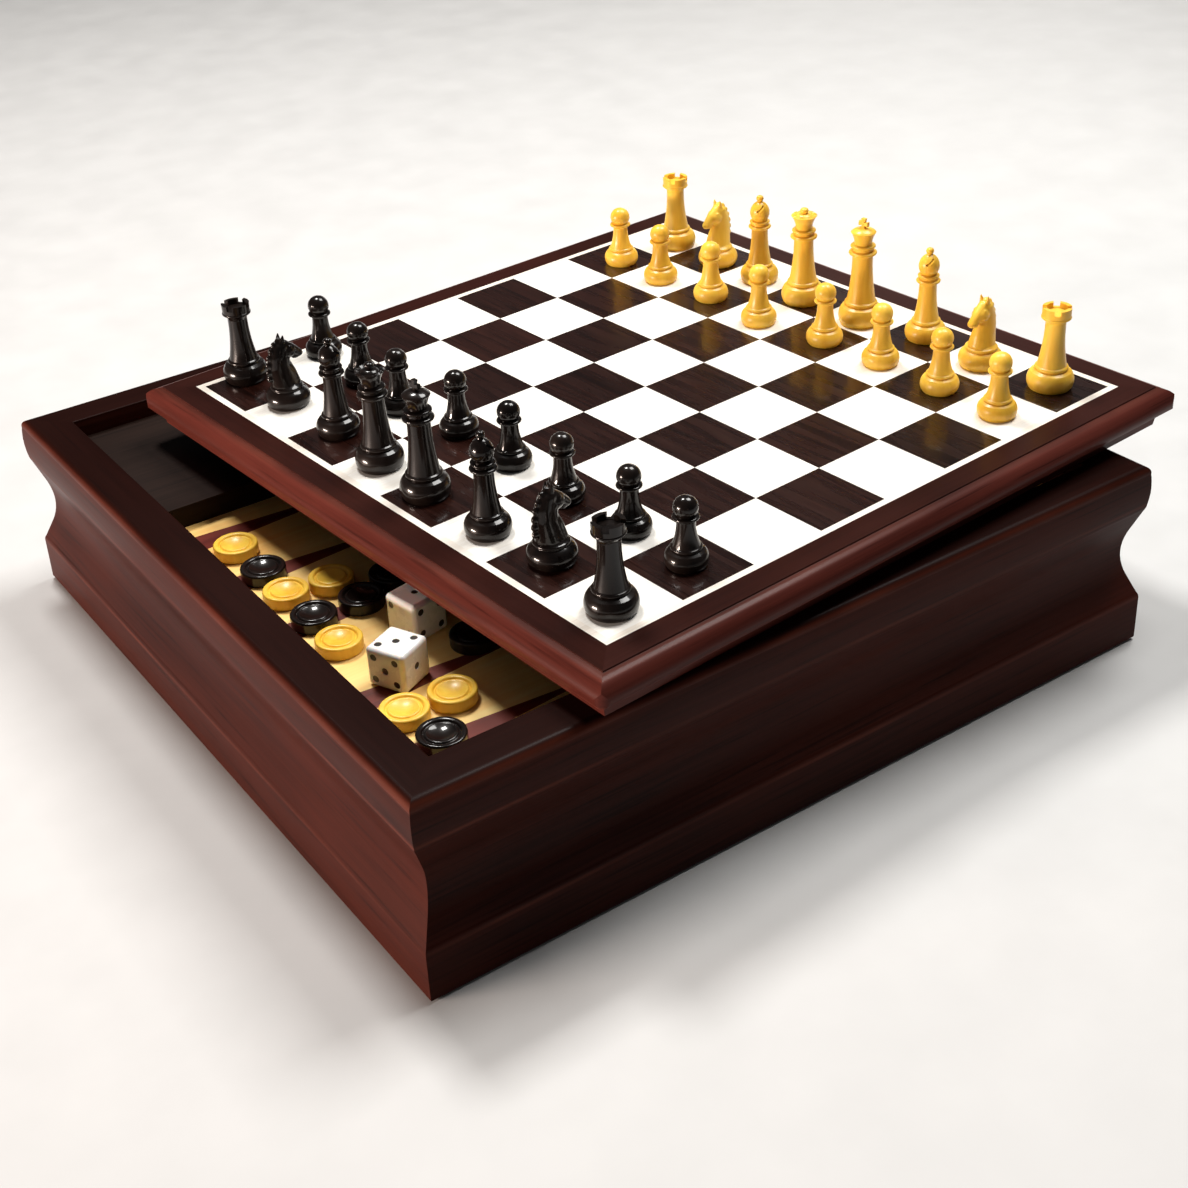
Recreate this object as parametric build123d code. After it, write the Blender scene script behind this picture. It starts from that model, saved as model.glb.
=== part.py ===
from build123d import *
import math
import os

# Games compendium box: a square base with a recessed game field and a piece
# well, a lift-off chessboard lid set down askew across its rim, and the men.
# Millimetres, +Z up. Origin: centre of the base's flat underside.
# The base is square to X and Y; the lid is turned LID_YAW about Z.

# ---------------------------------------------------------------- driving dimensions
SQUARE = 30.0            # chess square
BASE_HALF = 152.5        # half width of the base over its top band (305 mm, 12 in)
BASE_H = 73.3            # height of the base
OPEN_HALF = 136.6        # half width of the opening inside the rim
FLOOR_T = 5.0            # bottom panel
FLOOR_HALF = 144.9       # bottom panel, let into the walls' rebate
REBATE_HALF = 145.0

FIELD_DEPTH = 16.0       # rim to game field
FIELD_T = 4.0
FIELD_TOP = BASE_H - FIELD_DEPTH
DIVIDER_Y = 58.1         # front face of the divider
DIVIDER_T = 4.0
COVER_T = 3.2
COVER_TOP = BASE_H - 7.3
CLEAT = 8.0              # square section of the board's cleats
BLOCK_LEG = 14.0         # corner blocks

LID_T = 15.4             # lid thickness
LID_X, LID_Y, LID_YAW = 35.1, -9.8, 4.583
FIELD_HALF = 4 * SQUARE  # 120
INLAY_HALF = 122.6       # outer edge of the cream line
ARRIS_HALF = 132.0       # outer edge of the frame's flat top
NOSE_HALF = 138.2        # widest part of the lid's moulding
SEAT_DROP = 8.4          # top of lid to the underside of its overhang
PLUG_TOP_HALF = 135.6    # the part below the overhang goes inside the rim
PLUG_BOTTOM_HALF = 132.6
CORE_T = 6.0
VENEER_T = 1.2
CORE_HALF = 127.4        # tongue into the frame's groove
GROOVE_HALF = 127.5

DIE = 14.5
PIP_R, PIP_DEEP, PIP_PITCH = 1.25, 0.5, 4.06
CHECKER_R, CHECKER_T = 8.0, 4.5

# lid-frame positions of the men's axes: (name, kind, x, y)
BLACK_MEN = [
    ("rook_1", "rook", -104.3, 115.4), ("knight_1", "knight", -104.4, 84.0),
    ("bishop_1", "bishop", -103.8, 50.4), ("queen", "queen", -107.2, 18.4),
    ("king", "king", -108.0, -10.4), ("bishop_2", "bishop", -108.0, -45.6),
    ("knight_2", "knight", -104.1, -74.2), ("rook_2", "rook", -109.0, -109.0),
    ("pawn_1", "pawn", -70.4, 112.7), ("pawn_2", "pawn", -73.6, 80.1),
    ("pawn_3", "pawn", -77.0, 49.5), ("pawn_4", "pawn", -72.3, 19.2),
    ("pawn_5", "pawn", -73.7, -13.8), ("pawn_6", "pawn", -75.6, -45.2),
    ("pawn_7", "pawn", -74.3, -77.6), ("pawn_8", "pawn", -74.9, -105.1),
]
AMBER_MEN = [
    ("rook_1", "rook", 104.6, 98.4), ("knight_1", "knight", 103.3, 70.1),
    ("bishop_1", "bishop", 102.1, 43.4), ("queen", "queen", 99.5, 15.5),
    ("king", "king", 100.0, -16.0), ("bishop_2", "bishop", 106.3, -44.3),
    ("knight_2", "knight", 102.1, -75.1), ("rook_2", "rook", 105.7, -104.7),
    ("pawn_1", "pawn", 74.6, 100.7), ("pawn_2", "pawn", 73.1, 73.3),
    ("pawn_3", "pawn", 74.8, 44.1), ("pawn_4", "pawn", 71.2, 12.2),
    ("pawn_5", "pawn", 76.0, -19.4), ("pawn_6", "pawn", 76.6, -48.0),
    ("pawn_7", "pawn", 75.2, -78.4), ("pawn_8", "pawn", 73.6, -106.4),
]
# base-frame positions of the loose pieces on the field
DICE = [("die_1", -113.5, -77.3, 25.1, (3, 5, 1)), ("die_2", -94.1, -55.8, 11.3, (1, 2, 4))]
BLACK_CHECKERS = [(-119.7, 7.5), (-119.7, -30.6), (-101.6, -30.6), (-86.0, -24.0),
                  (-120.6, -115.0), (-84.1, -74.7)]
AMBER_CHECKERS = [(-120.3, 28.3), (-120.3, -11.2), (-103.9, -13.4), (-120.3, -49.4),
                  (-123.1, -96.9), (-106.3, -97.8)]
# backgammon points: (y, side), base on the side wall, tip towards the middle
POINT_LEN, POINT_BASE, POINT_T = 72.0, 12.0, 0.6
POINTS = [(43.4, -1), (8.2, -1), (-30.6, -1), (-81.2, -1), (-115.0, -1),
          (25.8, 1), (-11.2, 1), (-49.4, 1), (-98.1, 1)]

# ---------------------------------------------------------------- helpers
os.makedirs("parts", exist_ok=True)


def save(shape, name):
    export_step(shape, f"parts/{name}.step")
    b = shape.bounding_box()
    print(name, len(shape.solids()), round(sum(s.volume for s in shape.solids()), 1),
          round(b.min.Z, 2), round(b.max.Z, 2))


def path_wire(steps):
    """steps: first (x, y); then ('L', x, y) or ('A', xm, ym, x, y)."""
    p = steps[0]
    edges = []
    for s in steps[1:]:
        if s[0] == "L":
            q = (s[1], s[2])
            edges.append(Line(p, q))
        else:
            q = (s[3], s[4])
            edges.append(ThreePointArc(p, (s[1], s[2]), q))
        p = q
    if math.dist(p, steps[0]) > 1e-6:
        edges.append(Line(p, steps[0]))
    return Wire(edges)


def face_of(steps):
    return make_face(path_wire(steps))


def profile_run(steps, length):
    """Profile given as (outward r, z); runs along X, outward is -Y."""
    f = face_of(steps)
    # local x -> -Y, local y -> +Z, normal -> X
    pl = Plane(origin=(0, 0, 0), x_dir=(0, -1, 0), z_dir=(-1, 0, 0))
    f = pl * f
    return extrude(f, amount=length / 2, both=True)


def wedge(reach, z0, z1):
    w = Polyline((0, 0), (reach, -reach), (-reach, -reach), close=True)
    return Pos(0, 0, z0) * extrude(make_face(w), amount=z1 - z0)


def sides(piece):
    """front, right, back, left copies of a piece made for the front."""
    return [Rot(0, 0, a) * piece for a in (0, 90, 180, 270)]


def turned(steps):
    f = face_of(steps)
    f = Plane.XZ * f
    return revolve(f, Axis.Z, 360)


def box(x0, y0, z0, x1, y1, z1):
    return Pos((x0 + x1) / 2, (y0 + y1) / 2, (z0 + z1) / 2) * Box(x1 - x0, y1 - y0, z1 - z0)


# ---------------------------------------------------------------- base
wall_profile = [
    (OPEN_HALF, FLOOR_T), ("L", OPEN_HALF, BASE_H - 0.5),
    ("A", OPEN_HALF + 0.15, BASE_H - 0.15, OPEN_HALF + 0.5, BASE_H),
    ("L", BASE_HALF - 2.9, BASE_H),
    ("A", BASE_HALF - 0.75, BASE_H - 0.9, BASE_HALF, BASE_H - 3.2),
    ("A", BASE_HALF + 0.5, BASE_H - 9.0, BASE_HALF, 57.2),
    ("A", BASE_HALF - 0.2, 56.2, BASE_HALF - 0.6, 55.2),
    ("L", BASE_HALF - 3.3, 47.6),
    ("A", BASE_HALF - 5.0, 37.5, BASE_HALF - 2.9, 28.2),
    ("L", BASE_HALF + 0.4, 20.6),
    ("A", BASE_HALF + 0.95, 19.5, BASE_HALF + 1.15, 18.2),
    ("L", BASE_HALF + 1.4, 1.4),
    ("A", BASE_HALF + 1.0, 0.4, BASE_HALF, 0.0),
    ("L", REBATE_HALF, 0.0), ("L", REBATE_HALF, FLOOR_T),
]
wall = profile_run(wall_profile, 320) & wedge(200, -5, BASE_H + 5)

SCREW_Y = -(OPEN_HALF + REBATE_HALF) / 2
screw_core = [(0, 0.3), ("L", 3.0, 0.3), ("L", 1.5, 2.1), ("L", 1.5, 14.5), ("L", 0, 16.0)]
screw_hole = [(0, -1.0), ("L", 3.0, -1.0), ("L", 3.0, 0.3), ("L", 1.5, 2.1), ("L", 1.5, 14.5), ("L", 0, 16.0)]
screw = turned(screw_core) - (box(-2.2, -0.35, 0, 2.2, 0.35, 1.0) + box(-0.35, -2.2, 0, 0.35, 2.2, 1.0))
hole = turned(screw_hole)
screw_places = [Rot(0, 0, a) * Pos(x, SCREW_Y, 0) for a in (0, 90, 180, 270) for x in (-75, 75)]
wall = wall - (Pos(-75, SCREW_Y, 0) * hole) - (Pos(75, SCREW_Y, 0) * hole)
for name, w in zip(("wall_front", "wall_right", "wall_back", "wall_left"), sides(wall)):
    save(w, name)

panel = box(-FLOOR_HALF, -FLOOR_HALF, 0, FLOOR_HALF, FLOOR_HALF, FLOOR_T)
for loc in screw_places:
    panel = panel - (loc * hole)
save(panel, "bottom_panel")
save(Compound(children=[loc * screw for loc in screw_places]), "bottom_screws")

block = Polyline((-OPEN_HALF, -OPEN_HALF), (-OPEN_HALF + BLOCK_LEG, -OPEN_HALF),
                 (-OPEN_HALF, -OPEN_HALF + BLOCK_LEG), close=True)
CLEAT_Z = FIELD_TOP - FIELD_T - CLEAT
block = Pos(0, 0, FLOOR_T) * extrude(make_face(block), amount=CLEAT_Z - FLOOR_T)
save(Compound(children=sides(block)), "corner_blocks")

z0, z1, o, c = CLEAT_Z, FIELD_TOP - FIELD_T, OPEN_HALF, CLEAT
save(Compound(children=[
    box(-o, -o, z0, -o + c, DIVIDER_Y, z1), box(o - c, -o, z0, o, DIVIDER_Y, z1),
    box(-o + c, -o, z0, o - c, -o + c, z1),
    box(-o + c, DIVIDER_Y - c, z0, o - c, DIVIDER_Y, z1)]), "board_cleats")

COVER_Z = COVER_TOP - COVER_T
save(box(-o, DIVIDER_Y, FLOOR_T, o, DIVIDER_Y + DIVIDER_T, COVER_Z), "divider")
save(box(-o, o - 6, COVER_Z - 6, o, o, COVER_Z), "cover_ledge")

board = box(-o + 0.2, -o + 0.2, FIELD_TOP - FIELD_T, o - 0.2, DIVIDER_Y - 0.2, FIELD_TOP)
points = []
for y, s in POINTS:
    t = Polyline((s * (o - 2.6), y - POINT_BASE / 2), (s * (o - 2.6), y + POINT_BASE / 2),
                 (s * (o - 2.6 - POINT_LEN), y), close=True)
    points.append(Pos(0, 0, FIELD_TOP - POINT_T) * extrude(make_face(t), amount=POINT_T))
for t in points:
    board = board - t
save(board, "field_board")
save(Compound(children=points), "dark_points")

cover = box(-o + 0.4, DIVIDER_Y - 0.5, COVER_Z, o - 0.4, o - 0.4, COVER_TOP)
cover = cover - Pos(0, 97, COVER_Z + COVER_T / 2) * Cylinder(10, COVER_T * 2)
save(cover, "well_cover")

# ---------------------------------------------------------------- lid
T = LID_T
lid_at = Pos(LID_X, LID_Y, BASE_H) * Rot(0, 0, LID_YAW)
top_at = lid_at * Pos(0, 0, T)
GR0, GR1 = T - VENEER_T - CORE_T, T - VENEER_T
rail_profile = [
    (INLAY_HALF, 0.0), ("L", INLAY_HALF, GR0), ("L", GROOVE_HALF, GR0), ("L", GROOVE_HALF, GR1),
    ("L", INLAY_HALF, GR1), ("L", INLAY_HALF, T), ("L", ARRIS_HALF, T),
    ("L", ARRIS_HALF + 0.1, T - 0.5), ("L", ARRIS_HALF + 0.6, T - 0.6),
    ("A", ARRIS_HALF + 4.3, T - 2.2, NOSE_HALF, T - 5.8),
    ("A", NOSE_HALF - 0.1, T - 7.2, NOSE_HALF - 0.5, T - SEAT_DROP),
    ("L", PLUG_TOP_HALF, T - SEAT_DROP),
    ("L", PLUG_TOP_HALF, T - SEAT_DROP - 0.6),
    ("A", PLUG_BOTTOM_HALF + 1.0, T - SEAT_DROP - 1.6, PLUG_BOTTOM_HALF + 0.5, T - SEAT_DROP - 3.4),
    ("L", PLUG_BOTTOM_HALF, 0.0),
]
rail = profile_run(rail_profile, 300) & wedge(200, -5, T + 5)
# the nose is rounded in plan at the corners
CORNER_R = 4.0
outline = extrude(RectangleRounded(2 * NOSE_HALF + 0.02, 2 * NOSE_HALF + 0.02, CORNER_R), amount=T + 2)
rail = rail & (Pos(0, 0, -1) * outline)
for name, r in zip(("lid_rail_front", "lid_rail_right", "lid_rail_back", "lid_rail_left"), sides(rail)):
    save(lid_at * r, name)
save(lid_at * box(-CORE_HALF, -CORE_HALF, GR0, CORE_HALF, CORE_HALF, GR1), "lid_core")

strip = Polyline((-INLAY_HALF, -INLAY_HALF), (INLAY_HALF, -INLAY_HALF),
                 (FIELD_HALF, -FIELD_HALF), (-FIELD_HALF, -FIELD_HALF), close=True)
strip = Pos(0, 0, GR1) * extrude(make_face(strip), amount=VENEER_T)
save(Compound(children=[lid_at * s for s in sides(strip)]), "inlay_border")

tiles = {0: [], 1: []}
for i in range(8):
    for j in range(8):
        x, y = (j - 3.5) * SQUARE, (i - 3.5) * SQUARE
        t = box(x - SQUARE / 2, y - SQUARE / 2, GR1, x + SQUARE / 2, y + SQUARE / 2, T)
        tiles[(i + j) % 2].append(lid_at * t)
save(Compound(children=tiles[0]), "light_squares")
save(Compound(children=tiles[1]), "dark_squares")


# ---------------------------------------------------------------- chessmen
# every man stands on a rounded drum with a thin ring above it, then a tapering stem
def pawn():
    return turned([
        (0, 0), ("L", 6.3, 0), ("A", 7.2, 2.7, 6.1, 5.4), ("L", 5.1, 6.0),
        ("L", 4.8, 6.1), ("A", 5.2, 6.65, 4.8, 7.2), ("L", 4.5, 7.4),
        ("A", 3.4, 11.6, 3.05, 16.0), ("A", 3.3, 16.6, 4.0, 16.8),
        ("A", 4.35, 17.3, 4.0, 17.8), ("L", 3.2, 18.1), ("A", 4.05, 20.9, 2.9, 23.3),
        ("A", 1.7, 24.1, 0.3, 24.4), ("L", 0, 24.4)])


def rook():
    s = turned([
        (0, 0), ("L", 7.6, 0), ("A", 8.6, 3.2, 7.4, 6.4), ("L", 6.1, 7.1),
        ("L", 5.7, 7.3), ("A", 6.15, 7.95, 5.7, 8.6), ("L", 5.4, 8.8),
        ("A", 4.2, 15.8, 3.7, 24.6), ("A", 4.1, 26.2, 5.0, 26.9),
        ("A", 5.45, 27.35, 5.2, 27.9), ("L", 5.3, 31.2), ("L", 3.8, 31.2),
        ("L", 3.8, 29.2), ("L", 0, 29.2)])
    for a in (45, 135):
        s = s - Rot(0, 0, a) * box(-8, -1.2, 29.4, 8, 1.2, 33)
    return s


def bishop():
    s = turned([
        (0, 0), ("L", 7.0, 0), ("A", 8.0, 3.0, 6.8, 6.0), ("L", 5.6, 6.7),
        ("L", 5.2, 6.9), ("A", 5.65, 7.5, 5.2, 8.1), ("L", 4.9, 8.3),
        ("A", 3.8, 14.8, 3.35, 22.4), ("A", 3.6, 23.1, 4.3, 23.4),
        ("A", 4.65, 23.9, 4.3, 24.4), ("L", 3.4, 24.7), ("L", 3.4, 25.3),
        ("L", 3.8, 25.5), ("A", 4.15, 25.95, 3.8, 26.4), ("L", 2.9, 26.7),
        ("A", 4.0, 29.8, 1.1, 34.4), ("L", 1.0, 34.7),
        ("A", 1.5, 35.9, 0.3, 37.0), ("L", 0, 37.0)])
    cut = Pos(1.2, 0, 32.5) * Rot(0, 38, 0) * Box(5.0, 12, 0.7)
    return s - (cut & box(0.2, -8, 27, 8, 8, 37))


def queen():
    s = turned([
        (0, 0), ("L", 7.7, 0), ("A", 8.7, 3.4, 7.5, 6.8), ("L", 6.3, 7.5),
        ("L", 5.9, 7.7), ("A", 6.4, 8.4, 5.9, 9.1), ("L", 5.6, 9.3),
        ("A", 4.4, 17.0, 3.9, 26.0), ("A", 4.2, 26.8, 5.0, 27.1),
        ("A", 5.4, 27.7, 5.0, 28.3), ("L", 3.9, 28.7), ("L", 3.9, 29.5),
        ("L", 4.4, 29.7), ("A", 4.8, 30.2, 4.4, 30.7), ("L", 3.3, 31.0),
        ("A", 3.8, 33.8, 5.2, 36.3), ("L", 4.6, 36.8),
        ("L", 3.6, 36.0), ("A", 2.7, 36.8, 1.4, 37.2), ("L", 1.2, 37.4),
        ("A", 1.7, 38.35, 0.3, 39.3), ("L", 0, 39.3)])
    for k in range(8):
        s = s - Rot(0, 0, 45 * k + 22.5) * Pos(4.9, 0, 37.2) * Rot(0, 90, 0) * Cylinder(0.95, 3.4)
    return s


def king():
    s = turned([
        (0, 0), ("L", 7.8, 0), ("A", 8.8, 3.5, 7.6, 7.0), ("L", 6.4, 7.7),
        ("L", 6.0, 7.9), ("A", 6.5, 8.6, 6.0, 9.3), ("L", 5.7, 9.5),
        ("A", 4.5, 17.8, 4.0, 27.6), ("A", 4.3, 28.4, 5.1, 28.7),
        ("A", 5.5, 29.3, 5.1, 29.9), ("L", 4.0, 30.3), ("L", 4.0, 31.3),
        ("L", 4.5, 31.5), ("A", 4.9, 32.0, 4.5, 32.5), ("L", 3.4, 32.8),
        ("A", 3.8, 35.2, 4.9, 37.6), ("L", 4.4, 38.1),
        ("A", 2.9, 38.9, 0.9, 39.3), ("L", 0, 39.3)])
    arm = Polyline((-0.45, 0), (-0.95, -2.1), (0.95, -2.1), (0.45, 0), close=True)
    cross = None
    for a in (0, 90, 180, 270):
        f = Pos(0, 0, 0) * Rot(0, 0, a) * make_face(arm)
        e = extrude(Plane.YZ * Pos(0, 40.9) * f, amount=0.7, both=True)
        cross = e if cross is None else cross + e
    return s + cross + Pos(0, 0, 40.9) * Box(1.4, 1.2, 1.2) + Pos(0, 0, 39.2) * Cylinder(0.9, 1.0)


def knight():
    base = turned([
        (0, 0), ("L", 7.4, 0), ("A", 8.4, 3.0, 7.2, 6.0), ("L", 6.0, 6.7),
        ("L", 5.7, 6.9), ("A", 6.15, 7.5, 5.7, 8.1), ("L", 5.4, 8.3), ("L", 0, 8.3)])
    side = [(-5.3, 8.0), (-6.1, 10.4), (-6.6, 13.4), (-6.6, 16.6), (-6.2, 19.8), (-5.0, 22.8),
            (-3.2, 25.2), (-1.6, 26.6), (-0.6, 28.3), (0.7, 27.0), (2.2, 25.6), (4.0, 23.8),
            (6.0, 21.6), (7.6, 19.4), (8.1, 18.0), (7.6, 16.8), (6.4, 16.1), (5.0, 16.4),
            (3.8, 16.8), (3.0, 16.2), (3.2, 14.6), (4.1, 12.4), (5.0, 10.2), (5.3, 8.0)]
    f = make_face(Polyline(*side, close=True))
    head = extrude(Plane.XZ * f, amount=6, both=True)
    front = [(-4.9, 7.9), (-4.4, 12.0), (-3.7, 17.0), (-3.2, 22.0), (-2.4, 26.0), (-1.5, 28.5),
             (1.5, 28.5), (2.4, 26.0), (3.2, 22.0), (3.7, 17.0), (4.4, 12.0), (4.9, 7.9)]
    g = extrude(Plane.YZ * make_face(Polyline(*front, close=True)), amount=12, both=True)
    head = head & g
    ears = Pos(-0.4, 0, 28.2) * Rot(0, 0, 0) * Box(4, 0.9, 2.6)
    return base + (head - ears)


MAKE = {"pawn": pawn, "rook": rook, "bishop": bishop, "queen": queen, "king": king, "knight": knight}
shapes = {k: f() for k, f in MAKE.items()}
for colour, men, facing in (("black", BLACK_MEN, 0), ("amber", AMBER_MEN, 180)):
    for k, (name, kind, x, y) in enumerate(men):
        turn = facing + ((k * 37) % 23 - 11 if kind != "king" else 4)
        save(top_at * Pos(x, y, 0) * Rot(0, 0, turn) * shapes[kind], f"{colour}_{name}")

# ---------------------------------------------------------------- dice and checkers
PIPS = {1: [(0, 0)], 2: [(-1, -1), (1, 1)], 3: [(-1, -1), (0, 0), (1, 1)],
        4: [(-1, -1), (-1, 1), (1, -1), (1, 1)],
        5: [(-1, -1), (-1, 1), (0, 0), (1, -1), (1, 1)],
        6: [(-1, -1), (-1, 0), (-1, 1), (1, -1), (1, 0), (1, 1)]}


def die_parts(top, left, front):
    """top is +Z, left is -X, front is -Y; opposite faces add up to seven."""
    h = DIE / 2
    body = fillet(Box(DIE, DIE, DIE).edges(), 1.6)
    faces = [(top, Location((0, 0, h))), (7 - top, Location((0, 0, -h), (180, 0, 0))),
             (left, Location((-h, 0, 0), (0, -90, 0))), (7 - left, Location((h, 0, 0), (0, 90, 0))),
             (front, Location((0, -h, 0), (90, 0, 0))), (7 - front, Location((0, h, 0), (-90, 0, 0)))]
    pips = []
    for n, loc in faces:
        for u, v in PIPS[n]:
            if n == top and n == 3:
                v = -v
            p = loc * Pos(u * PIP_PITCH, v * PIP_PITCH, -PIP_DEEP / 2) * Cylinder(PIP_R, PIP_DEEP)
            body = body - p
            pips.append(loc * Pos(u * PIP_PITCH, v * PIP_PITCH, -PIP_DEEP * 0.7)
                        * Cylinder(PIP_R, PIP_DEEP * 0.6))
    return body, pips


for name, x, y, yaw, (top, left, front) in DICE:
    body, pips = die_parts(top, left, front)
    at = Pos(x, y, FIELD_TOP + DIE / 2) * Rot(0, 0, yaw)
    save(at * body, name)
    save(Compound(children=[at * p for p in pips]), name + "_pips")

checker = turned([
    (0, 0), ("L", 7.4, 0), ("A", 7.85, 0.2, CHECKER_R, 0.7), ("L", CHECKER_R, 3.8),
    ("A", 7.75, 4.35, 7.2, CHECKER_T), ("L", 6.7, CHECKER_T), ("A", 6.2, 4.3, 5.9, 3.9),
    ("A", 5.6, 3.7, 5.3, 3.9), ("A", 4.9, 4.2, 4.4, 4.1), ("A", 2.4, 3.45, 0.4, 3.2), ("L", 0, 3.2)])
for name, places in (("black_checkers", BLACK_CHECKERS), ("amber_checkers", AMBER_CHECKERS)):
    save(Compound(children=[Pos(x, y, FIELD_TOP) * checker for x, y in places]), name)

print("files", len(os.listdir("parts")))
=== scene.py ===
import math

import bmesh
import bpy
from mathutils import Euler, Matrix, Vector


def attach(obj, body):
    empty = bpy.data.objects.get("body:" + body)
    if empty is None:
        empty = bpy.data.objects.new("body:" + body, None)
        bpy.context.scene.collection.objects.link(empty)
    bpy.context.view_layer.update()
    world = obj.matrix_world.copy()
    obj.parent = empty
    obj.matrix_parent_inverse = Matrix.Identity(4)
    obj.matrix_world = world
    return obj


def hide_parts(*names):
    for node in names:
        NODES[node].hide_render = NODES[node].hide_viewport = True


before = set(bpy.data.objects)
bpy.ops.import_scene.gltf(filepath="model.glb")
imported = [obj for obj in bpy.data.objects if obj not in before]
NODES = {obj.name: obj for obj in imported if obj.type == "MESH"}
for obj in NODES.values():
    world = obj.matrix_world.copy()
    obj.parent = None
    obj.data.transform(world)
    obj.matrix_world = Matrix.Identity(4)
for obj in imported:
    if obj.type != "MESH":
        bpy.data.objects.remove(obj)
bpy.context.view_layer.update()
MM = 0.001

# lid placement, as in the CAD
LID_X, LID_Y, LID_YAW = 35.1, -9.8, 4.583
BASE_H, LID_T = 73.3, 15.4
LID_TOP = BASE_H + LID_T
YAW = math.radians(LID_YAW)


# ------------------------------------------------------------------ node helpers
class Mat:
    """A small builder for one node material."""

    def __init__(self, name):
        self.m = bpy.data.materials.new(name)
        self.m.use_nodes = True
        self.t = self.m.node_tree
        self.t.nodes.clear()
        self.out = self.t.nodes.new("ShaderNodeOutputMaterial")
        self.b = self.t.nodes.new("ShaderNodeBsdfPrincipled")
        self.link(self.b.outputs[0], self.out.inputs[0])

    def new(self, kind, **props):
        n = self.t.nodes.new(kind)
        for k, v in props.items():
            setattr(n, k, v)
        return n

    def link(self, a, b):
        self.t.links.new(a, b)

    def set(self, **vals):
        for k, v in vals.items():
            self.b.inputs[k.replace("_", " ")].default_value = v
        return self

    def coords(self, scale=(1, 1, 1), rot_z=0.0, loc=(0, 0, 0)):
        tc = self.new("ShaderNodeTexCoord")
        src = tc.outputs["Object"]
        if rot_z:
            r = self.new("ShaderNodeMapping", vector_type="POINT")
            r.inputs["Rotation"].default_value = (0, 0, rot_z)
            self.link(src, r.inputs[0])
            src = r.outputs[0]
        mp = self.new("ShaderNodeMapping", vector_type="POINT")
        mp.inputs["Scale"].default_value = scale
        mp.inputs["Location"].default_value = loc
        self.link(src, mp.inputs[0])
        return mp.outputs[0]

    def noise(self, vec, scale=1.0, detail=4.0, rough=0.55, distort=0.0):
        n = self.new("ShaderNodeTexNoise")
        n.inputs["Scale"].default_value = scale
        n.inputs["Detail"].default_value = detail
        n.inputs["Roughness"].default_value = rough
        n.inputs["Distortion"].default_value = distort
        self.link(vec, n.inputs["Vector"])
        return n.outputs["Fac"]

    def ramp(self, fac, stops):
        r = self.new("ShaderNodeValToRGB")
        e = r.color_ramp.elements
        while len(e) > 1:
            e.remove(e[-1])
        e[0].position, e[0].color = stops[0][0], (*stops[0][1], 1)
        for p, c in stops[1:]:
            x = e.new(p)
            x.color = (*c, 1)
        self.link(fac, r.inputs[0])
        return r.outputs[0]

    def mapr(self, fac, a, b, c, d, smooth=False):
        r = self.new("ShaderNodeMapRange")
        if smooth:
            r.interpolation_type = "SMOOTHSTEP"
        for i, v in zip(("From Min", "From Max", "To Min", "To Max"), (a, b, c, d)):
            r.inputs[i].default_value = v
        self.link(fac, r.inputs["Value"])
        return r.outputs[0]

    def math(self, op, a, b=None, c=None):
        n = self.new("ShaderNodeMath", operation=op)
        for i, v in enumerate((a, b, c)):
            if v is None:
                continue
            if isinstance(v, (int, float)):
                n.inputs[i].default_value = v
            else:
                self.link(v, n.inputs[i])
        return n.outputs[0]

    def mix(self, fac, a, b, blend="MIX"):
        n = self.new("ShaderNodeMix", data_type="RGBA", blend_type=blend)
        for sock, v in ((n.inputs["Factor"], fac), (n.inputs[6], a), (n.inputs[7], b)):
            if isinstance(v, (int, float)):
                sock.default_value = v
            elif isinstance(v, tuple):
                sock.default_value = (*v, 1) if len(v) == 3 else v
            else:
                self.link(v, sock)
        return n.outputs[2]

    def bump(self, height, strength=0.2, dist=0.0005, normal=None):
        n = self.new("ShaderNodeBump")
        n.inputs["Strength"].default_value = strength
        n.inputs["Distance"].default_value = dist
        self.link(height, n.inputs["Height"])
        if normal is not None:
            self.link(normal, n.inputs["Normal"])
        return n.outputs[0]

    def finish(self, color=None, rough=None, normal=None):
        if color is not None:
            self.link(color, self.b.inputs["Base Color"])
        if rough is not None:
            self.link(rough, self.b.inputs["Roughness"])
        if normal is not None:
            self.link(normal, self.b.inputs["Normal"])
        return self.m


def axis_scale(axis, along, across):
    return (along, across, across) if axis == "x" else ((across, along, across) if axis == "y" else (across, across, along))


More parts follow.
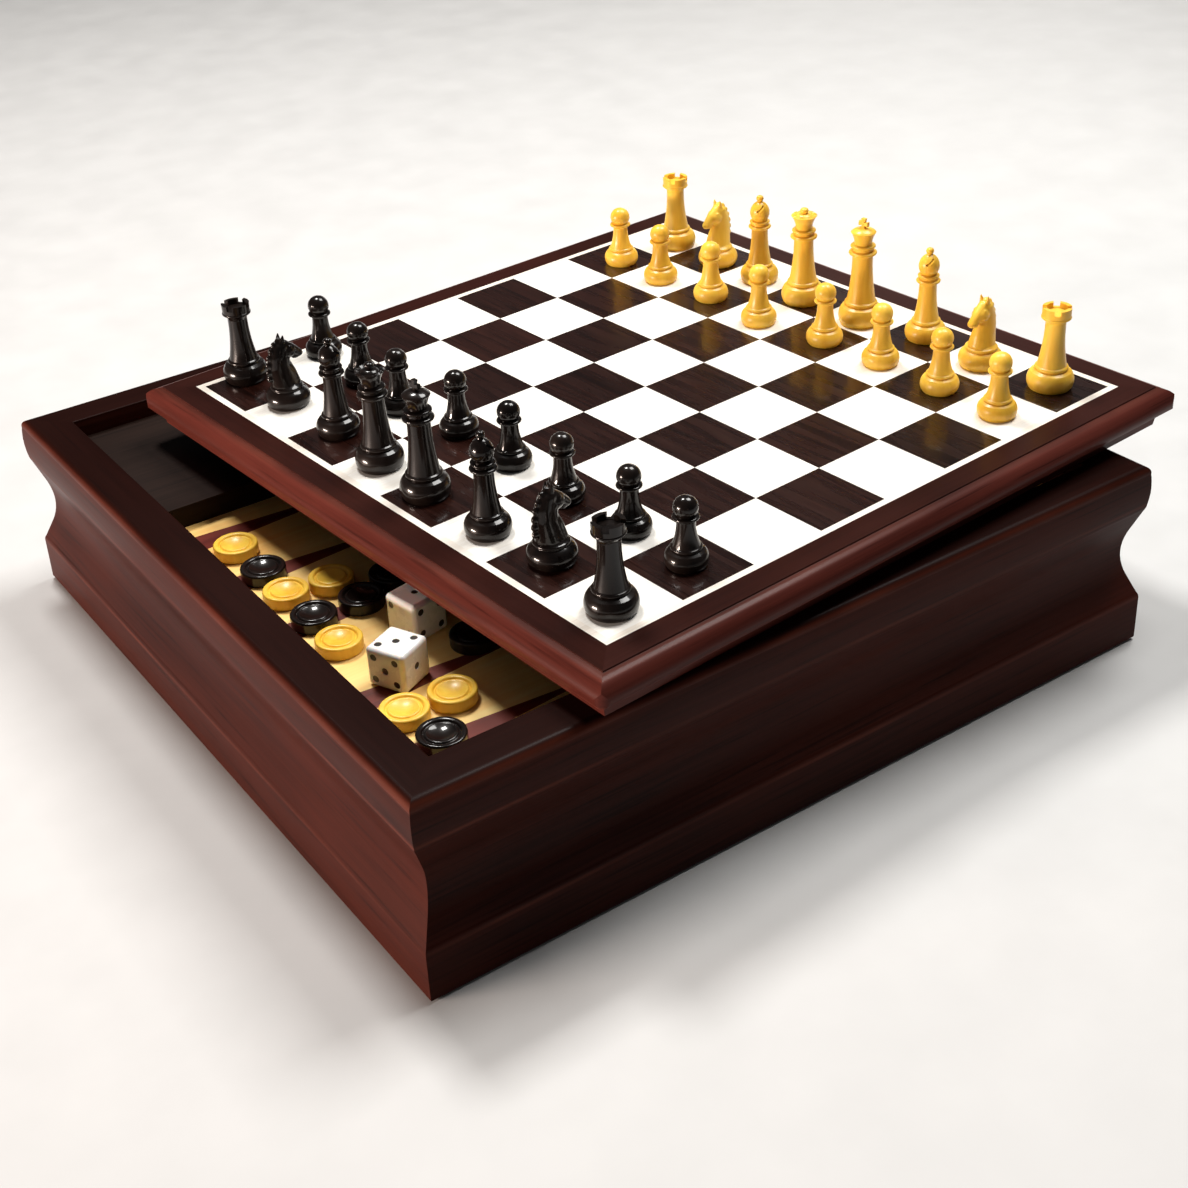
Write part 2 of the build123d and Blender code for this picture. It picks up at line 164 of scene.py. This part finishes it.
def wood(name, dark, light, axis="x", rot_z=0.0, rough=(0.28, 0.42), coat=0.18, coat_rough=0.18, spec=0.5,
         bump=0.10, along=9.0, across=150.0, figure=0.5, arris_top_shade_fn=None, loc=(0, 0, 0), pores=True, ior=1.5):
    """Straight-grained lacquered wood; dark and light are the two ends of its grain colour."""
    m = Mat(name)
    v = m.coords(axis_scale(axis, along, across), rot_z, loc)
    g1 = m.noise(v, 1.0, 5.0, 0.6, 0.6)
    v2 = m.coords(axis_scale(axis, along * 2.2, across * 5.0), rot_z, loc)
    g2 = m.noise(v2, 1.0, 3.0, 0.55, 0.2)
    vb = m.coords(axis_scale(axis, 7.0, 16.0), rot_z, loc)
    g3 = m.noise(vb, 1.0, 2.0, 0.5)
    a = m.math("MULTIPLY_ADD", g1, figure, m.math("MULTIPLY", g2, 1.0 - figure))
    a = m.math("MULTIPLY_ADD", g3, 0.55, m.math("MULTIPLY", a, 0.6))
    mid = tuple((p + q) / 2 for p, q in zip(dark, light))
    col = m.ramp(a, [(0.36, dark), (0.54, mid), (0.74, light)])
    if pores:
        p = m.mapr(g2, 0.28, 0.42, 1.0, 0.0, True)
        col = m.mix(m.math("MULTIPLY", p, 0.45), col, tuple(c * 0.45 for c in dark))
    if arris_top_shade_fn is not None:
        col = arris_top_shade_fn(m, col, g1)
    r = m.mapr(g3, 0.3, 0.7, rough[0], rough[1])
    r = m.math("MULTIPLY_ADD", m.math("SUBTRACT", g1, 0.5), 0.12, r)
    m.set(Coat_Weight=coat, Coat_Roughness=coat_rough, IOR=ior, Specular_IOR_Level=spec)
    h = m.math("MULTIPLY_ADD", g2, 0.6, m.math("MULTIPLY", g1, 0.6))
    return m.finish(col, r, m.bump(h, bump, 0.0004))


def make_arris_bands_and_top_shade(zs, tint, top, top_shade_color):
    """Paler reddish bands along the arrises at heights zs (metres), broken up by noise; painted shade on the flat top,
    which is darkened towards the given dark colour so that it reads darker than the lit sides.
    """

    def add(m, col, grain):
        tc = m.new("ShaderNodeTexCoord")
        sep = m.new("ShaderNodeSeparateXYZ")
        m.link(tc.outputs["Object"], sep.inputs[0])
        total = None
        for z, half in zs:
            d = m.math("ABSOLUTE", m.math("SUBTRACT", sep.outputs["Z"], z))
            k = m.mapr(d, 0.0, half, 1.0, 0.0, True)
            total = k if total is None else m.math("MAXIMUM", total, k)
        n = m.noise(m.coords((22, 22, 22)), 1.0, 3.0, 0.5)
        k = m.math("MULTIPLY", total, m.mapr(n, 0.3, 0.75, 0.2, 0.9, True))
        # painted shade: within 1.3 mm below the top height, the colour is mixed up to 82% towards the dark top colour
        top_shade_mask = m.mapr(sep.outputs["Z"], top - 0.0013, top - 0.0002, 0.0, 0.82, True)
        col = m.mix(top_shade_mask, col, top_shade_color)
        return m.mix(m.math("MULTIPLY", k, 0.32), col, tint)

    return add


def put(names, mat):
    for n in names:
        o = NODES[n]
        o.data.materials.clear()
        o.data.materials.append(mat)


# ------------------------------------------------------------------ materials
BASE_DARK, BASE_LIGHT = (0.0100, 0.0019, 0.0011), (0.048, 0.0088, 0.0046)
# base walls: paler arris bands, plus painted shade darkening the flat rim top
base_arris_topshade = make_arris_bands_and_top_shade([(0.0712, 0.0022), (0.0576, 0.0012), (0.0186, 0.0012)], (0.20, 0.052, 0.030), BASE_H * MM, (0.0060, 0.0014, 0.0009))
put(["wall_front", "wall_back"], wood("walls_x", BASE_DARK, BASE_LIGHT, "x", rough=(0.32, 0.46), coat=0.02, spec=0.04, arris_top_shade_fn=base_arris_topshade))
put(["wall_left", "wall_right"], wood("walls_y", BASE_DARK, BASE_LIGHT, "y", rough=(0.32, 0.46), coat=0.02, spec=0.04, arris_top_shade_fn=base_arris_topshade, loc=(3, 1, 2)))
# lid rails: paler arris bands, plus painted shade darkening the flat top
lid_arris_topshade = make_arris_bands_and_top_shade([(0.0880, 0.0010), (0.0803, 0.0008)], (0.22, 0.056, 0.034), LID_TOP * MM, (0.0060, 0.0014, 0.0009))
LID_DARK, LID_LIGHT = (0.026, 0.0056, 0.0040), (0.100, 0.0215, 0.0150)
put(["lid_rail_front", "lid_rail_back"], wood("rails_x", LID_DARK, LID_LIGHT, "x", -YAW, rough=(0.30, 0.44), coat=0.07, spec=0.05, arris_top_shade_fn=lid_arris_topshade, loc=(1, 5, 0)))
put(["lid_rail_left", "lid_rail_right"], wood("rails_y", LID_DARK, LID_LIGHT, "y", -YAW, rough=(0.30, 0.44), coat=0.07, spec=0.05, arris_top_shade_fn=lid_arris_topshade, loc=(4, 2, 0)))
put(["bottom_panel", "corner_blocks", "board_cleats", "cover_ledge", "lid_core"],
    wood("carcase", (0.26, 0.15, 0.075), (0.50, 0.33, 0.19), "x", rough=(0.55, 0.75), coat=0.0, bump=0.2, across=90))
put(["divider", "well_cover"], wood("dark_panel", (0.0060, 0.0030, 0.0022), (0.017, 0.0085, 0.0060), "x", rough=(0.40, 0.58), coat=0.0, spec=0.08, bump=0.15))


def squares(name, dark, light, vary, axis, coat_rough=0.08):
    """Veneer squares: each square has its own tone and its own piece of grain."""
    m = Mat(name)
    tc = m.new("ShaderNodeTexCoord")
    # lid coordinates in squares: x' along the lid's X
    mv = m.new("ShaderNodeMapping", vector_type="POINT")
    mv.inputs["Location"].default_value = (-LID_X * MM, -LID_Y * MM, 0)
    m.link(tc.outputs["Object"], mv.inputs[0])
    mr = m.new("ShaderNodeMapping", vector_type="POINT")
    mr.inputs["Rotation"].default_value = (0, 0, -YAW)
    s = 1 / 0.030
    mr.inputs["Scale"].default_value = (s, s, s)
    m.link(mv.outputs[0], mr.inputs[0])
    fl = m.new("ShaderNodeVectorMath", operation="FLOOR")
    m.link(mr.outputs[0], fl.inputs[0])
    wn = m.new("ShaderNodeTexWhiteNoise", noise_dimensions="2D")
    m.link(fl.outputs[0], wn.inputs["Vector"])
    shift = m.new("ShaderNodeVectorMath", operation="MULTIPLY_ADD")
    m.link(wn.outputs["Color"], shift.inputs[0])
    shift.inputs[1].default_value = (40, 40, 40)
    m.link(mr.outputs[0], shift.inputs[2])
    st = m.new("ShaderNodeMapping", vector_type="POINT")
    st.inputs["Scale"].default_value = axis_scale(axis, 0.55, 6.5)
    m.link(shift.outputs[0], st.inputs[0])
    g1 = m.noise(st.outputs[0], 1.0, 6.0, 0.6, 0.8)
    st2 = m.new("ShaderNodeMapping", vector_type="POINT")
    st2.inputs["Scale"].default_value = axis_scale(axis, 1.2, 26.0)
    m.link(shift.outputs[0], st2.inputs[0])
    g2 = m.noise(st2.outputs[0], 1.0, 3.0, 0.55, 0.3)
    a = m.math("MULTIPLY_ADD", g1, 0.6, m.math("MULTIPLY", g2, 0.4))
    mid = tuple((p + q) / 2 for p, q in zip(dark, light))
    col = m.ramp(a, [(0.34, dark), (0.52, mid), (0.70, light)])
    tone = m.mapr(wn.outputs["Value"], 0, 1, 1.0 - vary, 1.0 + vary)
    hv = m.new("ShaderNodeHueSaturation")
    hv.inputs["Fac"].default_value = 1.0
    m.link(col, hv.inputs["Color"])
    m.link(tone, hv.inputs["Value"])
    m.set(Coat_Weight=0.30, Coat_Roughness=coat_rough, Specular_IOR_Level=0.2)
    return m.finish(hv.outputs[0], m.mapr(g1, 0.3, 0.7, 0.22, 0.34), m.bump(g2, 0.05, 0.0003))


put(["light_squares"], squares("veneer_light", (0.86, 0.81, 0.73), (0.93, 0.91, 0.87), 0.02, "x"))
put(["dark_squares"], squares("veneer_dark", (0.0050, 0.0016, 0.0012), (0.026, 0.0066, 0.0038), 0.25, "y"))
put(["inlay_border"], wood("inlay_cream", (0.78, 0.70, 0.60), (0.90, 0.84, 0.76), "x", -YAW, rough=(0.25, 0.35), coat=0.3, bump=0.05, pores=False))
put(["field_board"], wood("field_maple", (0.90, 0.46, 0.105), (1.0, 0.76, 0.30), "x", rough=(0.32, 0.46), coat=0.3, coat_rough=0.2, bump=0.08, along=6, across=90, pores=False))
put(["dark_points"], wood("point_veneer", (0.085, 0.0075, 0.004), (0.20, 0.026, 0.012), "x", rough=(0.32, 0.46), coat=0.3, coat_rough=0.2, bump=0.08, along=8, across=120))


def turned_wood(name, dark, light, rough, coat, coat_rough, ring=0.25, sss=0.0, spec=0.5):
    """Lathe-turned lacquered men: upright grain and fine turning rings."""
    m = Mat(name)
    g = m.noise(m.coords((260, 260, 30)), 1.0, 5.0, 0.6, 0.5)
    blot = m.noise(m.coords((55, 55, 40)), 1.0, 2.0, 0.5)
    rings = m.noise(m.coords((6, 6, 2600)), 1.0, 2.0, 0.5)
    a = m.math("MULTIPLY_ADD", g, 0.5, m.math("MULTIPLY", blot, 0.5))
    mid = tuple((p + q) / 2 for p, q in zip(dark, light))
    col = m.ramp(a, [(0.34, dark), (0.5, mid), (0.68, light)])
    r = m.mapr(blot, 0.3, 0.7, rough[0], rough[1])
    m.set(Coat_Weight=coat, Coat_Roughness=coat_rough, Specular_IOR_Level=spec)
    if sss:
        m.set(Subsurface_Weight=sss, Subsurface_Scale=0.002)
        m.b.inputs["Subsurface Radius"].default_value = (1.0, 0.5, 0.15)
    h = m.math("MULTIPLY_ADD", rings, ring, m.math("MULTIPLY", g, 0.35))
    return m.finish(col, r, m.bump(h, 0.10, 0.0003))


BLACK = turned_wood("men_black", (0.0030, 0.0021, 0.0018), (0.0120, 0.0074, 0.0058), (0.24, 0.34), 0.50, 0.07, spec=0.10)
AMBER = turned_wood("men_amber", (0.76, 0.40, 0.028), (0.93, 0.62, 0.080), (0.34, 0.46), 0.18, 0.2, sss=0.10, spec=0.3)
MEN = ["rook_1", "knight_1", "bishop_1", "queen", "king", "bishop_2", "knight_2", "rook_2"] + [f"pawn_{k}" for k in range(1, 9)]
put(["black_" + n for n in MEN] + ["black_checkers"], BLACK)
put(["amber_" + n for n in MEN] + ["amber_checkers"], AMBER)


def plastic(name, base, vary, rough, sss=0.0, bump=0.05, coat=0.3):
    m = Mat(name)
    n = m.noise(m.coords((180, 180, 180)), 1.0, 4.0, 0.6)
    f = m.noise(m.coords((1800, 1800, 1800)), 1.0, 2.0, 0.5)
    col = m.ramp(n, [(0.35, tuple(c * (1 - vary) for c in base)), (0.65, base)])
    m.set(Coat_Weight=coat, Coat_Roughness=0.1)
    if sss:
        m.set(Subsurface_Weight=sss, Subsurface_Scale=0.0015)
    return m.finish(col, m.mapr(n, 0.3, 0.7, rough[0], rough[1]), m.bump(f, bump, 0.0002))


put(["die_1", "die_2"], plastic("dice_white", (0.86, 0.84, 0.80), 0.05, (0.2, 0.32), 0.25))
put(["die_1_pips", "die_2_pips"], plastic("pip_black", (0.022, 0.016, 0.012), 0.3, (0.3, 0.45)))


def metal(name, base):
    m = Mat(name)
    n = m.noise(m.coords((700, 700, 60)), 1.0, 4.0, 0.6)
    col = m.ramp(n, [(0.3, tuple(c * 0.6 for c in base)), (0.7, base)])
    m.set(Metallic=1.0)
    return m.finish(col, m.mapr(n, 0.3, 0.7, 0.25, 0.45), m.bump(n, 0.08, 0.0002))


put(["bottom_screws"], metal("brass", (0.72, 0.52, 0.22)))

# ------------------------------------------------------------------ knights
# the neck, head and muzzle are carved: built from overlapping ovals, fused and smoothed


def ball(bm, x, y, z, rx, ry, rz, pitch=0.0, seg=20, rings=12):
    mat = Matrix.Translation((x, y, z)) @ Matrix.Rotation(pitch, 4, "Y") @ Matrix.Diagonal((rx, ry, rz, 1))
    bmesh.ops.create_uvsphere(bm, u_segments=seg, v_segments=rings, radius=1.0, matrix=mat)


def chain(bm, pts, n):
    for k in range(n + 1):
        t = k / n * (len(pts) - 1)
        i = min(int(t), len(pts) - 2)
        f = t - i
        v = [a + (b - a) * f for a, b in zip(pts[i], pts[i + 1])]
        ball(bm, *v[:3], *v[3:6])


def horse_mesh():
    bm = bmesh.new()
    # neck: x, y, z, rx, ry, rz
    chain(bm, [(-0.2, 0, 8.6, 4.4, 4.1, 1.6), (-0.7, 0, 12.0, 4.1, 3.5, 2.2), (-1.4, 0, 16.0, 3.6, 3.0, 2.4),
               (-1.2, 0, 20.0, 3.3, 2.7, 2.4), (-0.5, 0, 23.2, 2.8, 2.4, 2.2)], 26)
    # chest
    chain(bm, [(2.0, 0, 8.8, 2.6, 3.4, 1.6), (1.4, 0, 12.5, 2.3, 2.8, 2.2), (0.6, 0, 16.0, 1.9, 2.2, 2.0)], 10)
    # cheek, face and muzzle
    ball(bm, 1.5, 0, 21.0, 3.0, 2.75, 2.9)
    chain(bm, [(0.4, 0, 23.8, 2.1, 1.9, 2.0), (2.5, 0, 21.9, 2.0, 1.8, 1.9), (4.5, 0, 19.7, 1.7, 1.55, 1.7), (5.5, 0, 18.6, 1.45, 1.5, 1.4)], 14)
    ball(bm, 4.4, 0, 17.9, 1.5, 1.3, 0.9)
    # brow, eyes and nostrils
    for s in (-1, 1):
        ball(bm, 1.9, s * 1.75, 22.9, 0.85, 0.6, 0.6)
        ball(bm, 5.9, s * 1.0, 18.9, 0.5, 0.5, 0.5)
        # ears
        chain(bm, [(-0.1, s * 1.05, 25.0, 0.95, 0.75, 1.0), (0.15, s * 1.25, 26.6, 0.65, 0.5, 0.9), (0.3, s * 1.35, 27.75, 0.3, 0.28, 0.5)], 8)
    # mane: a scalloped crest down the back of the neck
    crest = [(-0.6, 25.6), (-2.1, 24.6), (-3.4, 22.6), (-4.3, 20.2), (-4.9, 17.6), (-5.1, 15.0), (-5.0, 12.4)]
    for k, (x, z) in enumerate(crest):
        ball(bm, x, 0, z, 1.15, 0.95, 1.45, pitch=math.radians(-20 + 6 * k))
    bmesh.ops.scale(bm, vec=(1.26, 1.18, 1.0), verts=bm.verts)
    me = bpy.data.meshes.new("horse_raw")
    bm.to_mesh(me)
    bm.free()
    o = bpy.data.objects.new("horse_raw", me)
    bpy.context.scene.collection.objects.link(o)
    r = o.modifiers.new("r", "REMESH")
    r.mode = "VOXEL"
    r.voxel_size = 0.32
    s = o.modifiers.new("s", "SMOOTH")
    s.factor, s.iterations = 0.6, 5
    dg = bpy.context.evaluated_depsgraph_get()
    fused = bpy.data.meshes.new_from_object(o.evaluated_get(dg))
    bpy.data.objects.remove(o)
    return fused


def lathe(profile, seg=72):
    """Profile of (r, z) points, closed onto the axis; returns a bmesh."""
    bm = bmesh.new()
    rings = []
    for r, z in profile:
        if r < 1e-6:
            rings.append([bm.verts.new((0, 0, z))])
        else:
            rings.append([bm.verts.new((r * math.cos(2 * math.pi * k / seg), r * math.sin(2 * math.pi * k / seg), z)) for k in range(seg)])
    for a, b in zip(rings, rings[1:]):
        for k in range(seg):
            k2 = (k + 1) % seg
            if len(a) == 1 and len(b) == 1:
                continue
            if len(a) == 1:
                bm.faces.new((a[0], b[k], b[k2]))
            elif len(b) == 1:
                bm.faces.new((a[k], a[k2], b[0]))
            else:
                bm.faces.new((a[k], a[k2], b[k2], b[k]))
    bmesh.ops.recalc_face_normals(bm, faces=bm.faces)
    return bm


def arc3(p, m, q, n=8):
    """Points after p along the arc p, m, q."""
    ax, ay = p; bx, by = m; cx, cy = q
    d = 2 * (ax * (by - cy) + bx * (cy - ay) + cx * (ay - by))
    ux = ((ax * ax + ay * ay) * (by - cy) + (bx * bx + by * by) * (cy - ay) + (cx * cx + cy * cy) * (ay - by)) / d
    uy = ((ax * ax + ay * ay) * (cx - bx) + (bx * bx + by * by) * (ax - cx) + (cx * cx + cy * cy) * (bx - ax)) / d
    r = math.dist((ux, uy), p)
    a0, a1, a2 = (math.atan2(y - uy, x - ux) for x, y in (p, m, q))
    two = 2 * math.pi
    if (a1 - a0) % two > (a2 - a0) % two:
        sweep = -((a0 - a2) % two)
    else:
        sweep = (a2 - a0) % two
    return [(ux + r * math.cos(a0 + sweep * k / n), uy + r * math.sin(a0 + sweep * k / n)) for k in range(1, n + 1)]


def profile(steps):
    pts = [steps[0]]
    for s in steps[1:]:
        if s[0] == "L":
            pts.append((s[1], s[2]))
        else:
            pts += arc3(pts[-1], (s[1], s[2]), (s[3], s[4]))
    return pts


KNIGHT_BASE = [(0, 0), ("L", 7.2, 0), ("L", 7.4, 0.15), ("A", 8.4, 3.0, 7.2, 6.0), ("L", 6.0, 6.7),
               ("L", 5.7, 6.9), ("A", 6.15, 7.5, 5.7, 8.1), ("L", 5.3, 8.3), ("A", 4.2, 9.3, 0, 9.8)]
HORSE = horse_mesh()


def knight(node, body, lx, ly, turn, mat):
    base = lathe(profile(KNIGHT_BASE))
    head = bmesh.new()
    head.from_mesh(HORSE)
    me2 = bpy.data.meshes.new("tmp")
    head.to_mesh(me2)
    base.from_mesh(me2)
    head.free()
    bpy.data.meshes.remove(me2)
    c, s = math.cos(YAW), math.sin(YAW)
    x, y = LID_X + c * lx - s * ly, LID_Y + s * lx + c * ly
    base.transform(Matrix.Translation((x * MM, y * MM, LID_TOP * MM)) @ Matrix.Rotation(YAW + math.radians(turn), 4, "Z") @ Matrix.Scale(MM, 4))
    me = bpy.data.meshes.new(node + "_carved")
    base.to_mesh(me)
    base.free()
    for p in me.polygons:
        p.use_smooth = True
    me.materials.append(mat)
    o = bpy.data.objects.new(node + "_carved", me)
    bpy.context.scene.collection.objects.link(o)
    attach(o, body)
    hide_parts(node)


def man_turn(k):
    return (k * 37) % 23 - 11


knight("black_knight_1", "black_knight_1", -104.4, 84.0, 0 + man_turn(1), BLACK)
knight("black_knight_2", "black_knight_2", -104.1, -74.2, 0 + man_turn(6), BLACK)
knight("amber_knight_1", "amber_knight_1", 103.3, 70.1, 180 + man_turn(1), AMBER)
knight("amber_knight_2", "amber_knight_2", 102.1, -75.1, 180 + man_turn(6), AMBER)

# ------------------------------------------------------------------ camera
F_PX, AZ, PITCH, ROLL = 1833.14, math.radians(-33.695), math.radians(32.291), math.radians(-2.934)
TARGET, DIST = Vector((-19.03, -49.12, 37.5)) * MM, 638.59 * MM
fw = Vector((-math.sin(AZ) * math.cos(PITCH), math.cos(AZ) * math.cos(PITCH), -math.sin(PITCH)))
right = Vector((math.cos(AZ), math.sin(AZ), 0))
up = right.cross(fw)
r2 = math.cos(ROLL) * right + math.sin(ROLL) * up
u2 = -math.sin(ROLL) * right + math.cos(ROLL) * up
cam = bpy.data.cameras.new("cam")
cam.sensor_width = 36.0
cam.lens = 36.0 * F_PX / 1188.0 * 0.965   # a little wider than the photograph, so that the lid's right corner is in frame
cam.clip_start, cam.clip_end = 0.01, 50
cam_o = bpy.data.objects.new("cam", cam)
bpy.context.scene.collection.objects.link(cam_o)
rot = Matrix((r2, u2, -fw)).transposed()
cam_o.matrix_world = Matrix.Translation(TARGET - fw * DIST) @ rot.to_4x4()
bpy.context.scene.camera = cam_o

# ------------------------------------------------------------------ floor and light
bm = bmesh.new()
n = 48
for k in range(n):
    bm.verts.new((6 * math.cos(2 * math.pi * k / n), 6 * math.sin(2 * math.pi * k / n), -0.0002))
bm.faces.new(bm.verts)
me = bpy.data.meshes.new("floor")
bm.to_mesh(me)
bm.free()
fm = Mat("floor_pale")
fn = fm.noise(fm.coords((30, 30, 30)), 1.0, 3.0, 0.5)
me.materials.append(fm.finish(fm.ramp(fn, [(0.3, (0.56, 0.557, 0.550)), (0.7, (0.60, 0.597, 0.590))]), fm.mapr(fn, 0.3, 0.7, 0.6, 0.7)))
floor = bpy.data.objects.new("floor", me)
bpy.context.scene.collection.objects.link(floor)


def area(name, loc, aim, size, power, color=(1, 1, 1), size_y=None):
    l = bpy.data.lights.new(name, "AREA")
    l.shape = "RECTANGLE"
    l.size, l.size_y = size, size_y or size
    l.energy = power
    l.color = color
    o = bpy.data.objects.new(name, l)
    o.matrix_world = Matrix.Translation(loc) @ (Vector(aim) - Vector(loc)).to_track_quat("-Z", "Y").to_matrix().to_4x4()
    bpy.context.scene.collection.objects.link(o)


area("top", (0.62, 0.02, 1.30), (0, 0, 0.06), 0.55, 19.0, (1.0, 0.985, 0.96))
area("side_left", (-1.35, 0.22, 0.15), (-0.1, 0.0, 0.055), 0.5, 32.0, (1.0, 0.80, 0.69), 0.12)
area("high_left", (0.02, 0.58, 1.40), (-0.10, 0, 0.06), 0.30, 18.0, (1.0, 0.98, 0.95))
area("rim_back", (1.25, 1.10, 0.28), (0.1, 0, 0.08), 0.5, 1.2, (1.0, 0.96, 0.92))
w = bpy.data.worlds.new("w")
w.use_nodes = True
w.node_tree.nodes["Background"].inputs[0].default_value = (0.98, 0.98, 1.0, 1)
w.node_tree.nodes["Background"].inputs[1].default_value = 0.068
bpy.context.scene.world = w
bpy.context.scene.view_settings.view_transform = "Standard"
bpy.context.scene.view_settings.look = "None"

bpy.context.view_layer.update()
